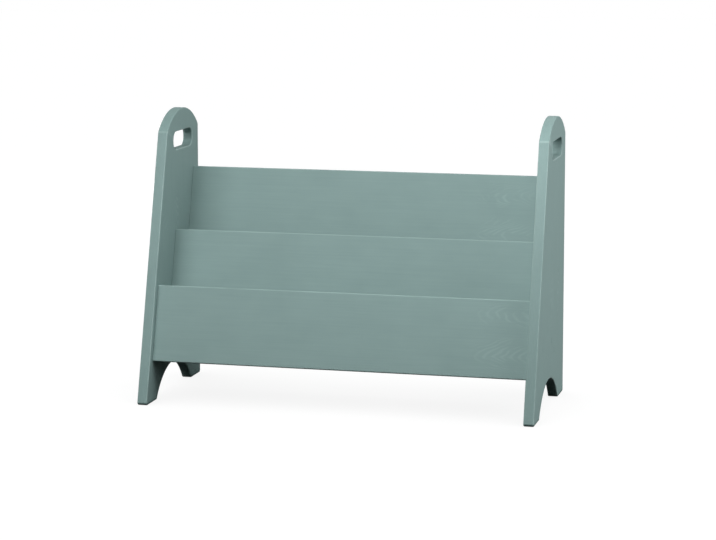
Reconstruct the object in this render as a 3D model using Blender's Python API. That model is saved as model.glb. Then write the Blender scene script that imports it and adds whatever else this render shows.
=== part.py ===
"""A low book rack: two shaped sides hold three boards that lean back, over one shelf.

Metres, +Z up, +X to the right as seen from the front; the front looks along -Y.
The origin is on the floor, in the middle of the rack.
"""
import math

import bmesh
import bpy
from mathutils import Matrix, Vector

# Overall size
rack_width = 0.700
rack_depth = 0.300
rack_height = 0.502
lean = math.radians(15.5)

# Sides
side_thickness = 0.018
side_edge_round = 0.002
crown_rise = 0.036
shoulder_radius = 0.008
front_foot_length = 0.054
rear_foot_length = 0.054
arch_rise = 0.0515
foot_corner_radius = 0.005
grip_length = 0.105
grip_height = 0.032
grip_corner_radius = 0.015
grip_below_top = 0.040

# Leaning panels
panel_thickness = 0.012
panel_edge_round = 0.002
front_panel_setback = 0.012
front_panel_foot = 0.0735
front_panel_top = 0.2025
middle_panel_top = 0.288
back_panel_foot = 0.0735
back_panel_top_below_grip = 0.040
back_panel_before_back_edge = 0.017

# Shelf under both pockets
shelf_thickness = 0.012
shelf_top = 0.121
shelf_edge_round = 0.0005

# Screws through the sides into the ends of the boards
screw_length = 0.045
screw_shank_diameter = 0.0045
screw_head_diameter = 0.0085
screw_head_rim = 0.0004
screw_head_cone = 0.0020
screw_tip_length = 0.006
screw_tip_diameter = 0.0012
screw_drive_diameter = 0.0040
screw_drive_flute_diameter = 0.0028
screw_drive_depth = 0.0018
screw_edge_distance = 0.024
screw_hole_spare_depth = 0.002
screw_count = 2
back_panel_screw_count = 3

# Plugs over the screw heads
plug_diameter = 0.010
plug_length = 0.005
plug_chamfer = 0.0003

# Dowels midway between the screws
dowel_diameter = 0.006
dowel_length = 0.030
dowel_in_side = 0.010
dowel_chamfer = 0.001
dowel_hole_spare_depth = 0.0005

# Gap between pieces that touch on the real rack
seam = 0.0003

# Fineness of the round stretches
long_arc_steps = 32
corner_steps = 5
edge_round_steps = 3
hole_sides = 16
screw_sides = 12
drill_past = 0.001


# Outlines in the side's plane: the first number is along Y, the second is the height

def heading(way):
    return math.atan2(way.y, way.x)


def arc(centre, radius, start, end, steps=corner_steps, bulge=1):
    """One round stretch of an outline; bulge is -1 where the wood lies outside the circle."""
    return {"centre": centre, "radius": radius, "start": start, "end": end, "steps": steps, "bulge": bulge}


def outline_points(arcs, inset=0.0):
    """A closed outline of arcs joined by straight tangents, drawn inset into the wood."""
    points = []
    for piece in arcs:
        radius = piece["radius"] - piece["bulge"] * inset
        for step in range(piece["steps"] + 1):
            angle = piece["start"] + (piece["end"] - piece["start"]) * step / piece["steps"]
            points.append(piece["centre"] + radius * Vector((math.cos(angle), math.sin(angle))))
    return points


def rounded_corner(before, corner, after, radius, steps=corner_steps):
    """The arc in a convex corner of an outline that runs anticlockwise."""
    way_in = (corner - before).normalized()
    way_out = (after - corner).normalized()
    turn = math.atan2(way_in.cross(way_out), way_in.dot(way_out))
    centre = corner - way_in * radius * math.tan(turn / 2) + Vector((-way_in.y, way_in.x)) * radius
    start = heading(way_in) - math.pi / 2
    return arc(centre, radius, start, start + turn, steps)


def rounded_polygon(corners, radius, steps=corner_steps):
    arcs = []
    for index, corner in enumerate(corners):
        after = corners[(index + 1) % len(corners)]
        arcs.append(rounded_corner(corners[index - 1], corner, after, radius, steps))
    return arcs


def at_distance(line_point, line_way, centre, distance):
    """The point of a line at the given distance from a centre; of the two, the one further along."""
    offset = line_point - centre
    along = offset.dot(line_way)
    return line_point + line_way * (math.sqrt(along ** 2 - offset.length_squared + distance ** 2) - along)


# Places that the sides and the boards share
up = Vector((0.0, 1.0))
back = Vector((1.0, 0.0))
up_the_lean = Vector((math.sin(lean), math.cos(lean)))
across_the_lean = Vector((math.cos(lean), -math.sin(lean)))
toe_overhang = foot_corner_radius * ((1 + math.sin(lean)) / math.cos(lean) - 1)
shoulder_height = rack_height - crown_rise
toe = Vector((-rack_depth / 2 - toe_overhang, 0.0))
heel = Vector((rack_depth / 2, 0.0))
front_shoulder = toe + up_the_lean * (shoulder_height / math.cos(lean))
back_shoulder = Vector((rack_depth / 2, shoulder_height))
crown_half_width = (back_shoulder.x - front_shoulder.x) / 2
crown_middle = (back_shoulder.x + front_shoulder.x) / 2


def radius_of_arc(half_width, rise):
    return (half_width ** 2 + rise ** 2) / (2 * rise)


def side_edge():
    """The side's outer edge, anticlockwise from the heel."""
    crown_radius = radius_of_arc(crown_half_width, crown_rise)
    crown_centre = Vector((crown_middle, rack_height - crown_radius))
    arch_start = -rack_depth / 2 + front_foot_length
    arch_end = rack_depth / 2 - rear_foot_length
    arch_radius = radius_of_arc((arch_end - arch_start) / 2, arch_rise)
    arch_centre = Vector(((arch_start + arch_end) / 2, arch_rise - arch_radius))

    inside_crown = crown_radius - shoulder_radius
    back_centre = at_distance(back_shoulder - back * shoulder_radius, up, crown_centre, inside_crown)
    front_edge_inside = front_shoulder + across_the_lean * shoulder_radius
    front_centre = at_distance(front_edge_inside, up_the_lean, crown_centre, inside_crown)
    back_angle = heading(back_centre - crown_centre)
    front_angle = heading(front_centre - crown_centre)

    outside_arch = arch_radius + foot_corner_radius
    over_floor = Vector((arch_centre.x, foot_corner_radius))
    front_foot_centre = at_distance(over_floor, -back, arch_centre, outside_arch)
    rear_foot_centre = at_distance(over_floor, back, arch_centre, outside_arch)
    arch_angle = heading(rear_foot_centre - arch_centre)
    down = -math.pi / 2
    return [
        rounded_corner(toe, heel, back_shoulder, foot_corner_radius),
        arc(back_centre, shoulder_radius, 0.0, back_angle),
        arc(crown_centre, crown_radius, back_angle, front_angle, long_arc_steps),
        arc(front_centre, shoulder_radius, front_angle, heading(-across_the_lean)),
        rounded_corner(front_shoulder, toe, heel, foot_corner_radius),
        arc(front_foot_centre, foot_corner_radius, down, -arch_angle),
        arc(arch_centre, arch_radius, math.pi - arch_angle, arch_angle, long_arc_steps, bulge=-1),
        arc(rear_foot_centre, foot_corner_radius, arch_angle - math.pi, down),
    ]


def grip_edge():
    """The hand hole under the middle of the crown; the wood lies outside its corners."""
    middle = Vector((crown_middle, rack_height - grip_below_top - grip_height / 2))
    half_length = back * grip_length / 2
    half_height = up * grip_height / 2
    corners = [
        middle - half_length - half_height,
        middle + half_length - half_height,
        middle + half_length + half_height,
        middle - half_length + half_height,
    ]
    arcs = rounded_polygon(corners, grip_corner_radius)
    for piece in arcs:
        piece["bulge"] = -1
    return arcs


# Meshes

def mesh_from(shape, name):
    bmesh.ops.recalc_face_normals(shape, faces=shape.faces)
    mesh = bpy.data.meshes.new(name)
    shape.to_mesh(mesh)
    shape.free()
    return mesh


def bridge(shape, lower, upper):
    for index in range(len(lower)):
        after = (index + 1) % len(lower)
        shape.faces.new((lower[index], lower[after], upper[after], upper[index]))


def add_face_round_grip(shape, edge, grip):
    """A side's flat face, in two parts that meet on both sides of the hand hole, at the shoulders."""
    corner_points = corner_steps + 1
    back_shoulder_start = corner_points
    front_shoulder_end = 3 * corner_points + long_arc_steps
    grip_back = 2 * corner_points
    above = edge[back_shoulder_start:front_shoulder_end + 1]
    below = edge[front_shoulder_end:] + edge[:back_shoulder_start + 1]
    shape.faces.new(above + grip[grip_back:][::-1])
    shape.faces.new(below + grip[:grip_back + 1][::-1] + grip[-1:])


def side_mesh(name):
    """A slab on both sides of X = 0, with its outer edge and its hand hole rounded over."""
    half = side_thickness / 2
    levels = []
    for step in range(edge_round_steps + 1):
        angle = math.pi / 2 * step / edge_round_steps
        depth = side_edge_round * (1 - math.cos(angle))
        inset = side_edge_round * (1 - math.sin(angle))
        levels.append((depth - half, inset))
    levels += [(-x, inset) for x, inset in reversed(levels)]

    shape = bmesh.new()
    edge_rings = []
    grip_rings = []
    for x, inset in levels:
        for rings, arcs in ((edge_rings, side_edge()), (grip_rings, grip_edge())):
            rings.append([shape.verts.new((x, point.x, point.y)) for point in outline_points(arcs, inset)])
    for rings in (edge_rings, grip_rings):
        for lower, upper in zip(rings, rings[1:]):
            bridge(shape, lower, upper)
    for edge, grip in ((edge_rings[0], grip_rings[0]), (edge_rings[-1], grip_rings[-1])):
        add_face_round_grip(shape, edge, grip)
    return mesh_from(shape, name)


def board_mesh(name, corners, edge_round):
    """A board: its section in Y and Z, drawn out along X between the sides."""
    half = rack_width / 2 - side_thickness - seam
    section = outline_points(rounded_polygon(corners, edge_round, edge_round_steps))
    shape = bmesh.new()
    left = [shape.verts.new((-half, point.x, point.y)) for point in section]
    right = [shape.verts.new((half, point.x, point.y)) for point in section]
    bridge(shape, left, right)
    shape.faces.new(left)
    shape.faces.new(right)
    return mesh_from(shape, name)


def add_turned(shape, profile, sides, place):
    """A solid turned about its own Z; the profile gives heights, diameters and flute diameters."""
    rings = []
    for height, diameter, flute_diameter in profile:
        ring = []
        for index in range(sides):
            angle = 2 * math.pi * index / sides
            reach = (flute_diameter if index % 2 else diameter) / 2
            point = Vector((reach * math.cos(angle), reach * math.sin(angle), height))
            ring.append(shape.verts.new(place @ point))
        rings.append(ring)
    for lower, upper in zip(rings, rings[1:]):
        bridge(shape, lower, upper)
    shape.faces.new(rings[0])
    shape.faces.new(rings[-1])


def round_profile(*steps):
    return [(height, diameter, diameter) for height, diameter in steps]


def turned_mesh(name, profile, sides):
    shape = bmesh.new()
    add_turned(shape, profile, sides, Matrix.Identity(4))
    return mesh_from(shape, name)


# Finishes and objects

def finish(name, colour, roughness, metallic=0.0):
    material = bpy.data.materials.new(name)
    material.use_nodes = True
    shader = material.node_tree.nodes["Principled BSDF"]
    shader.inputs["Base Color"].default_value = (*colour, 1.0)
    shader.inputs["Roughness"].default_value = roughness
    shader.inputs["Metallic"].default_value = metallic
    return material


def add_piece(name, mesh, material, place):
    if not mesh.materials:
        mesh.materials.append(material)
        mesh.shade_smooth()
        mesh.set_sharp_from_angle(angle=math.radians(40))
    piece = bpy.data.objects.new(name, mesh)
    bpy.context.scene.collection.objects.link(piece)
    piece.matrix_basis = place
    piece.parent = rack
    return piece


def drill(piece, drillings):
    cut = piece.modifiers.new(drillings.name, "BOOLEAN")
    cut.operation = "DIFFERENCE"
    cut.solver = "EXACT"
    cut.object = drillings


# Boards: where each stands, its section and the line of its fasteners

def on_lean(across, height):
    """The point at a height on the plane that lies so far across the lean from the sides' front edge."""
    start = toe + across_the_lean * across
    return start + up_the_lean * ((height - start.y) / math.cos(lean))


def leaning_panel(name, across, foot, top, level_foot=False, screws=screw_count):
    length = (top - foot) / math.cos(lean)
    foot_slope = panel_thickness * math.tan(lean) if level_foot else 0.0
    corner = on_lean(across, foot)
    middle_foot = corner + across_the_lean * panel_thickness / 2
    return {
        "name": name,
        "place": Matrix.Translation((0.0, corner.x, corner.y)) @ Matrix.Rotation(-lean, 4, "X"),
        "corners": [
            Vector((0.0, 0.0)),
            Vector((panel_thickness, foot_slope)),
            Vector((panel_thickness, length)),
            Vector((0.0, length)),
        ],
        "edge_round": panel_edge_round,
        "screws": screws,
        "fastener_start": middle_foot + up_the_lean * screw_edge_distance,
        "fastener_end": middle_foot + up_the_lean * (length - screw_edge_distance),
    }


def shelf_between(front_across, back_across):
    """The shelf, with its two long edges cut to the lean of the panels that it lies between."""
    foot = shelf_top - shelf_thickness
    seam_along = seam / math.cos(lean)
    front = on_lean(front_across, foot) + back * seam_along
    depth = on_lean(back_across, foot).x - seam_along - front.x
    edge_slope = shelf_thickness * math.tan(lean)
    middle_front = front + Vector((edge_slope / 2, shelf_thickness / 2))
    return {
        "name": "bottom_shelf",
        "place": Matrix.Translation((0.0, front.x, front.y)),
        "corners": [
            Vector((0.0, 0.0)),
            Vector((depth, 0.0)),
            Vector((depth + edge_slope, shelf_thickness)),
            Vector((edge_slope, shelf_thickness)),
        ],
        "edge_round": shelf_edge_round,
        "screws": screw_count,
        "fastener_start": middle_front + back * screw_edge_distance,
        "fastener_end": middle_front + back * (depth - screw_edge_distance),
    }


def all_boards():
    back_top = rack_height - grip_below_top - grip_height - back_panel_top_below_grip
    back_top_corner = rack_depth / 2 - back_panel_before_back_edge - panel_thickness * math.cos(lean)
    back_across = (back_top_corner - toe.x - back_top * math.tan(lean)) * math.cos(lean)
    middle_across = (front_panel_setback + back_across) / 2
    return [
        leaning_panel("front_panel", front_panel_setback, front_panel_foot, front_panel_top),
        leaning_panel("middle_panel", middle_across, shelf_top + seam, middle_panel_top, level_foot=True),
        leaning_panel("back_panel", back_across, back_panel_foot, back_top, screws=back_panel_screw_count),
        shelf_between(front_panel_setback + panel_thickness, back_across),
    ]


def fastener_places(board):
    """Places in the side's plane: screws in even steps along the board's end, dowels between them."""
    start = board["fastener_start"]
    spaces = board["screws"] - 1
    step = (board["fastener_end"] - start) / spaces
    screws = [start + step * index for index in range(spaces + 1)]
    dowels = [start + step * (index + 0.5) for index in range(spaces)]
    return screws, dowels


# Fasteners lie along X; their own Z points out of the rack, from its outer face
screw_head_depth = plug_length + seam
screw_seat_depth = screw_head_depth + screw_head_rim
screw_hole_diameter = screw_shank_diameter + 2 * seam
dowel_outer_end = dowel_in_side - side_thickness
dowel_inner_end = dowel_outer_end - dowel_length

screw_profile = round_profile(
    (-screw_head_depth - screw_length, screw_tip_diameter),
    (-screw_head_depth - screw_length + screw_tip_length, screw_shank_diameter),
    (-screw_seat_depth - screw_head_cone, screw_shank_diameter),
    (-screw_seat_depth, screw_head_diameter),
    (-screw_head_depth, screw_head_diameter),
) + [
    (-screw_head_depth, screw_drive_diameter, screw_drive_flute_diameter),
    (-screw_head_depth - screw_drive_depth, screw_drive_diameter, screw_drive_flute_diameter),
]
plug_profile = round_profile(
    (-plug_length, plug_diameter - 2 * plug_chamfer),
    (-plug_length + plug_chamfer, plug_diameter),
    (-plug_chamfer, plug_diameter),
    (0.0, plug_diameter - 2 * plug_chamfer),
)
dowel_profile = round_profile(
    (dowel_inner_end, dowel_diameter - 2 * dowel_chamfer),
    (dowel_inner_end + dowel_chamfer, dowel_diameter),
    (dowel_outer_end - dowel_chamfer, dowel_diameter),
    (dowel_outer_end, dowel_diameter - 2 * dowel_chamfer),
)
screw_hole_profile = round_profile(
    (-screw_head_depth - screw_length - screw_hole_spare_depth, screw_hole_diameter),
    (-screw_seat_depth - screw_head_cone, screw_hole_diameter),
    (-screw_seat_depth, screw_head_diameter + 2 * seam),
    (-screw_seat_depth, plug_diameter + 2 * seam),
    (drill_past, plug_diameter + 2 * seam),
)
dowel_hole_profile = round_profile(
    (dowel_inner_end - dowel_hole_spare_depth, dowel_diameter + 2 * seam),
    (dowel_outer_end + dowel_hole_spare_depth, dowel_diameter + 2 * seam),
)


def outward_from(side_sign, point):
    """A frame on a side's outer face whose Z points out of the rack."""
    place = Matrix.Translation((side_sign * rack_width / 2, point.x, point.y))
    return place @ Matrix.Rotation(side_sign * math.pi / 2, 4, "Y")


def add_drillings(name, side_sign, boards):
    """All the holes of one side, each drilled through the side into the end of its board."""
    shape = bmesh.new()
    for board in boards:
        screws, dowels = fastener_places(board)
        for point in screws:
            add_turned(shape, screw_hole_profile, hole_sides, outward_from(side_sign, point))
        for point in dowels:
            add_turned(shape, dowel_hole_profile, hole_sides, outward_from(side_sign, point))
    drillings = bpy.data.objects.new(name, mesh_from(shape, name))
    bpy.context.scene.collection.objects.link(drillings)
    drillings.parent = rack
    drillings.hide_render = True
    drillings.display_type = "WIRE"
    return drillings


# Start from an empty scene
for old in list(bpy.data.objects):
    bpy.data.objects.remove(old, do_unlink=True)

rack = bpy.data.objects.new("book_rack", None)
bpy.context.scene.collection.objects.link(rack)

sage_paint = finish("sage_paint", (0.220, 0.322, 0.309), 0.42)
plug_paint = finish("plug_paint", (0.212, 0.312, 0.299), 0.45)
zinc = finish("zinc_plated_steel", (0.62, 0.63, 0.64), 0.35, metallic=1.0)
beech = finish("beech", (0.58, 0.40, 0.24), 0.60)

boards = all_boards()
screw_mesh = turned_mesh("screw", screw_profile, screw_sides)
plug_mesh = turned_mesh("plug", plug_profile, hole_sides)
dowel_mesh = turned_mesh("dowel", dowel_profile, screw_sides)
all_drillings = []

for side, side_sign in (("left", -1), ("right", 1)):
    drillings = add_drillings(side + "_drillings", side_sign, boards)
    all_drillings.append(drillings)
    middle_of_side = Matrix.Translation((side_sign * (rack_width - side_thickness) / 2, 0.0, 0.0))
    drill(add_piece(side + "_side", side_mesh(side + "_side"), sage_paint, middle_of_side), drillings)
    for board in boards:
        screws, dowels = fastener_places(board)
        for number, point in enumerate(screws, start=1):
            ending = f"{board['name']}_{side}_{number}"
            add_piece("screw_" + ending, screw_mesh, zinc, outward_from(side_sign, point))
            add_piece("plug_" + ending, plug_mesh, plug_paint, outward_from(side_sign, point))
        for number, point in enumerate(dowels, start=1):
            ending = f"{board['name']}_{side}_{number}"
            add_piece("dowel_" + ending, dowel_mesh, beech, outward_from(side_sign, point))

for board in boards:
    mesh = board_mesh(board["name"], board["corners"], board["edge_round"])
    piece = add_piece(board["name"], mesh, sage_paint, board["place"])
    for drillings in all_drillings:
        drill(piece, drillings)
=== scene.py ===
"""The low book rack as it looks: sage green matt lacquer on plywood, on a pale studio floor."""

import math

import bmesh
import bpy
from mathutils import Matrix, Vector


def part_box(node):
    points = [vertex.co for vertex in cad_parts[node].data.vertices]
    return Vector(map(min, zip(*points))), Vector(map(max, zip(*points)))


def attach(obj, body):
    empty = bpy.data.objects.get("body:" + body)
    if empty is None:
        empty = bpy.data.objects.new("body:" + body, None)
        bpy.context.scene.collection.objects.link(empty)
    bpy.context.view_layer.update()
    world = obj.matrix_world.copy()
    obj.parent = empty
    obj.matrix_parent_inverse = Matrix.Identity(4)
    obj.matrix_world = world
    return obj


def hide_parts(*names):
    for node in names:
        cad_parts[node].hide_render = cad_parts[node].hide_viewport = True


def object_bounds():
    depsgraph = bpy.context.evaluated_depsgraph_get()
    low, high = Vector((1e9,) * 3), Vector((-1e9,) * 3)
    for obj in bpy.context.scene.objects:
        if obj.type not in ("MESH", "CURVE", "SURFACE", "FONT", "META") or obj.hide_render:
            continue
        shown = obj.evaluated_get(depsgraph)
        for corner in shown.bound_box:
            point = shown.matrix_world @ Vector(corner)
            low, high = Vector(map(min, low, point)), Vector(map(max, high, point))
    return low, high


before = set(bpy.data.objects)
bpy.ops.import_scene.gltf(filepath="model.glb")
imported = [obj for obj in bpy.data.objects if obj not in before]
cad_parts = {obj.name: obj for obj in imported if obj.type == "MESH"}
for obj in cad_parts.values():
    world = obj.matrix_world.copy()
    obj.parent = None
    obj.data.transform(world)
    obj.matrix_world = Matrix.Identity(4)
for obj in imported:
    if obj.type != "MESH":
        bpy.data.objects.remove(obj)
frame_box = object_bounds()


# The two sides. Each is an 18 mm birch plywood board, cut to one outline with a crown, a hand hole
# and two feet, rounded over on both faces with a 2 mm cutter, and drilled for plugs, screws and dowels.

lean = math.radians(15.5)
side_low, side_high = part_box("right_side")
side_thickness = side_high.x - side_low.x
depth = side_high.y - side_low.y
height = side_high.z
side_edge_round = 0.002
crown_rise = 0.036
crown_wear_highlight = 0.2
shoulder_radius = 0.008
foot_radius = 0.005
front_foot_length = 0.054
rear_foot_length = 0.054
arch_rise = 0.0515
grip_size = (0.105, 0.032)
grip_radius = 0.015
grip_below_top = 0.040
long_arc_steps = 96
corner_steps = 10
grip_corner_steps = 16
round_steps = 6
board_sharp_angle = math.radians(35)

up = Vector((0.0, 1.0))
back = Vector((1.0, 0.0))
up_the_lean = Vector((math.sin(lean), math.cos(lean)))
across_the_lean = Vector((math.cos(lean), -math.sin(lean)))
toe_overhang = foot_radius * ((1 + math.sin(lean)) / math.cos(lean) - 1)
toe = Vector((-depth / 2 - toe_overhang, 0.0))


def heading(way):
    return math.atan2(way.y, way.x)


def arc(centre, radius, start, end, steps, bulge=1, wear_highlight_mark=0.0, round_wear_highlight=1.0):
    """A round stretch of an outline; bulge is -1 where the wood lies outside the circle. The last two
    shares say how much its middle gets a painted highlight, and how much its two rounded edges are
    worn and paler as a painted highlight."""
    return {
        "centre": centre, "radius": radius, "start": start, "end": end, "steps": steps,
        "bulge": bulge, "wear_highlight_mark": wear_highlight_mark, "round_wear_highlight": round_wear_highlight,
    }


def outline_points(arcs, inset=0.0):
    points = []
    for piece in arcs:
        radius = piece["radius"] - piece["bulge"] * inset
        for step in range(piece["steps"] + 1):
            angle = piece["start"] + (piece["end"] - piece["start"]) * step / piece["steps"]
            points.append(piece["centre"] + radius * Vector((math.cos(angle), math.sin(angle))))
    return points


def rounded_corner(before, corner, after, radius, steps):
    way_in = (corner - before).normalized()
    way_out = (after - corner).normalized()
    turn = math.atan2(way_in.cross(way_out), way_in.dot(way_out))
    centre = corner - way_in * radius * math.tan(turn / 2) + Vector((-way_in.y, way_in.x)) * radius
    start = heading(way_in) - math.pi / 2
    return arc(centre, radius, start, start + turn, steps)


def rounded_polygon(corners, radius, steps):
    arcs = []
    for index, corner in enumerate(corners):
        after = corners[(index + 1) % len(corners)]
        arcs.append(rounded_corner(corners[index - 1], corner, after, radius, steps))
    return arcs


def at_distance(line_point, line_way, centre, distance):
    """The point of a line that lies at a distance from a centre, on the side where the line goes."""
    offset = line_point - centre
    along = offset.dot(line_way)
    reach = math.sqrt(along ** 2 - offset.length_squared + distance ** 2)
    return line_point + line_way * (reach - along)


def radius_of_arc(half_width, rise):
    return (half_width ** 2 + rise ** 2) / (2 * rise)


def side_edge():
    """The side's outline, anticlockwise from the heel: back edge, crown, leaning front edge, feet."""
    heel = Vector((depth / 2, 0.0))
    shoulder_height = height - crown_rise
    front_shoulder = toe + up_the_lean * (shoulder_height / math.cos(lean))
    back_shoulder = Vector((depth / 2, shoulder_height))
    crown_radius = radius_of_arc((back_shoulder.x - front_shoulder.x) / 2, crown_rise)
    crown_centre = Vector(((back_shoulder.x + front_shoulder.x) / 2, height - crown_radius))
    inside = crown_radius - shoulder_radius
    back_centre = at_distance(back_shoulder - back * shoulder_radius, up, crown_centre, inside)
    front_inside = front_shoulder + across_the_lean * shoulder_radius
    front_centre = at_distance(front_inside, up_the_lean, crown_centre, inside)
    back_angle = heading(back_centre - crown_centre)
    front_angle = heading(front_centre - crown_centre)
    front_edge_angle = heading(-across_the_lean)

    arch_start = -depth / 2 + front_foot_length
    arch_end = depth / 2 - rear_foot_length
    arch_radius = radius_of_arc((arch_end - arch_start) / 2, arch_rise)
    arch_centre = Vector(((arch_start + arch_end) / 2, arch_rise - arch_radius))
    over_floor = Vector((arch_centre.x, foot_radius))
    front_foot = at_distance(over_floor, -back, arch_centre, arch_radius + foot_radius)
    rear_foot = at_distance(over_floor, back, arch_centre, arch_radius + foot_radius)
    arch_angle = heading(rear_foot - arch_centre)
    down = -math.pi / 2
    return [
        rounded_corner(toe, heel, back_shoulder, foot_radius, corner_steps),
        arc(back_centre, shoulder_radius, 0.0, back_angle, corner_steps),
        arc(crown_centre, crown_radius, back_angle, front_angle, long_arc_steps, round_wear_highlight=crown_wear_highlight),
        # The front shoulder is paler in its middle, as a painted highlight
        arc(front_centre, shoulder_radius, front_angle, front_edge_angle, corner_steps, wear_highlight_mark=1.0),
        rounded_corner(front_shoulder, toe, heel, foot_radius, corner_steps),
        arc(front_foot, foot_radius, down, -arch_angle, corner_steps),
        arc(arch_centre, arch_radius, math.pi - arch_angle, arch_angle, long_arc_steps, bulge=-1),
        arc(rear_foot, foot_radius, arch_angle - math.pi, down, corner_steps),
    ]


def grip_edge():
    crown_middle = (depth / 2 + toe.x + (height - crown_rise) * math.tan(lean)) / 2
    middle = Vector((crown_middle, height - grip_below_top - grip_size[1] / 2))
    half_length = back * grip_size[0] / 2
    half_height = up * grip_size[1] / 2
    corners = [
        middle - half_length - half_height,
        middle + half_length - half_height,
        middle + half_length + half_height,
        middle - half_length + half_height,
    ]
    arcs = rounded_polygon(corners, grip_radius, grip_corner_steps)
    for piece in arcs:
        piece["bulge"] = -1
    return arcs


def bridge(shape, lower, upper):
    for index in range(len(lower)):
        after = (index + 1) % len(lower)
        shape.faces.new((lower[index], lower[after], upper[after], upper[index]))


def object_of(name, shape):
    bmesh.ops.recalc_face_normals(shape, faces=shape.faces)
    mesh = bpy.data.meshes.new(name)
    shape.to_mesh(mesh)
    shape.free()
    piece = bpy.data.objects.new(name, mesh)
    bpy.context.scene.collection.objects.link(piece)
    return piece


def plain_mesh(piece):
    """Turns a piece with modifiers into its plain evaluated mesh."""
    seen = piece.evaluated_get(bpy.context.evaluated_depsgraph_get())
    mesh = bpy.data.meshes.new_from_object(seen)
    piece.modifiers.clear()
    piece.data = mesh
    mesh.name = piece.name
    return piece


def smooth_rounds(piece):
    """Smooth shading on the rounds, true flats beside them."""
    piece.data.shade_smooth()
    piece.data.set_sharp_from_angle(angle=board_sharp_angle)
    weigh = piece.modifiers.new("flat faces stay flat", "WEIGHTED_NORMAL")
    weigh.keep_sharp = True
    weigh.weight = 100
    return plain_mesh(piece)


def drill(piece, drillings):
    cut = piece.modifiers.new("holes", "BOOLEAN")
    cut.operation = "DIFFERENCE"
    cut.solver = "EXACT"
    cut.object = drillings


def add_face_round_grip(shape, edge, grip):
    """A side's flat face, in two parts that meet on both sides of the hand hole, at the shoulders."""
    corner_points = corner_steps + 1
    back_shoulder_start = corner_points
    front_shoulder_end = 3 * corner_points + long_arc_steps
    grip_back = 2 * (grip_corner_steps + 1)
    above = edge[back_shoulder_start:front_shoulder_end + 1]
    below = edge[front_shoulder_end:] + edge[:back_shoulder_start + 1]
    shape.faces.new(above + grip[grip_back:][::-1])
    shape.faces.new(below + grip[:grip_back + 1][::-1] + grip[-1:])


def wear_highlight_along(arcs, shoulder_highlight_strength, on_edge):
    """Each point's share of painted highlight in the middle of an arc, or of wear and highlight on its edge.
    """
    shares = []
    for piece in arcs:
        for step in range(piece["steps"] + 1):
            shoulder_highlight_share = piece["wear_highlight_mark"] * shoulder_highlight_strength * math.sin(math.pi * step / piece["steps"])
            shares.append(max(shoulder_highlight_share, piece["round_wear_highlight"] * on_edge))
    return shares


def side_board(name, centre_x, drillings, shoulder_highlight_strength):
    half = side_thickness / 2
    levels = []
    for step in range(round_steps + 1):
        angle = math.pi / 2 * step / round_steps
        depth_in = side_edge_round * (1 - math.cos(angle))
        inset = side_edge_round * (1 - math.sin(angle))
        levels.append((depth_in - half, inset, 1 - abs(2 * step / round_steps - 1)))
    levels += [(-x, inset, on_edge) for x, inset, on_edge in reversed(levels)]
    shape = bmesh.new()
    # Each point keeps its share of edge wear and painted highlight
    wear_highlight_layer = shape.verts.layers.float.new("wear_highlight_edge")
    edge_rings = []
    grip_rings = []
    for x, inset, on_edge in levels:
        for rings, arcs in ((edge_rings, side_edge()), (grip_rings, grip_edge())):
            points = outline_points(arcs, inset)
            ring = [shape.verts.new((centre_x + x, point.x, point.y)) for point in points]
            for corner, wear_highlight_share in zip(ring, wear_highlight_along(arcs, shoulder_highlight_strength, on_edge)):
                corner[wear_highlight_layer] = wear_highlight_share
            rings.append(ring)
    for rings in (edge_rings, grip_rings):
        for lower, upper in zip(rings, rings[1:]):
            bridge(shape, lower, upper)
    for edge, grip in ((edge_rings[0], grip_rings[0]), (edge_rings[-1], grip_rings[-1])):
        add_face_round_grip(shape, edge, grip)
    piece = object_of(name, shape)
    drill(piece, drillings)
    return smooth_rounds(plain_mesh(piece))


# Every plug, screw and dowel lies along X: its place in the side is read from the frame
plug_names = sorted(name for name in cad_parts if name.startswith("plug_"))
screw_names = sorted(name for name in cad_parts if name.startswith("screw_"))
dowel_names = sorted(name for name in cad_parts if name.startswith("dowel_"))


def middle_of(node):
    low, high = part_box(node)
    return (low + high) / 2


def add_turned(shape, profile, sides, place):
    """A solid turned about its own Z, from a profile of heights and diameters."""
    rings = []
    for at_height, diameter in profile:
        ring = []
        for index in range(sides):
            angle = 2 * math.pi * index / sides
            point = Vector((math.cos(angle) * diameter / 2, math.sin(angle) * diameter / 2, at_height))
            ring.append(shape.verts.new(place @ point))
        rings.append(ring)
    for lower, upper in zip(rings, rings[1:]):
        bridge(shape, lower, upper)
    shape.faces.new(rings[0])
    shape.faces.new(rings[-1])


def outward(side_sign, outer_x, node):
    """A frame on a side's outer face, in line with a fastener, whose Z points out of the rack."""
    middle = middle_of(node)
    place = Matrix.Translation((outer_x, middle.y, middle.z))
    return place @ Matrix.Rotation(side_sign * math.pi / 2, 4, "Y")


plug_length = 0.005
plug_hole = 0.0101
screw_hole = 0.0051
screw_head_hole = 0.0091
screw_seat_depth = 0.0057
screw_cone_depth = 0.0020
screw_hole_depth = 0.0523
screw_hole_sides = 48
dowel_hole = 0.0062
dowel_hole_ends = (-0.0385, -0.0075)
dowel_hole_sides = 32
above_face = 0.001


def drillings_of(side, side_sign):
    """All that is drilled from one side: stepped holes for screws and plugs, blind ones for dowels."""
    outer_x = side_sign * frame_box[1].x
    shape = bmesh.new()
    for node in screw_names:
        if f"_{side}_" in node:
            profile = [
                (-screw_hole_depth, screw_hole),
                (-screw_seat_depth - screw_cone_depth, screw_hole),
                (-screw_seat_depth, screw_head_hole),
                (-screw_seat_depth, plug_hole),
                (above_face, plug_hole),
            ]
            add_turned(shape, profile, screw_hole_sides, outward(side_sign, outer_x, node))
    for node in dowel_names:
        if f"_{side}_" in node:
            profile = [(end, dowel_hole) for end in dowel_hole_ends]
            add_turned(shape, profile, dowel_hole_sides, outward(side_sign, outer_x, node))
    return object_of(side + "_drillings", shape)


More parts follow.
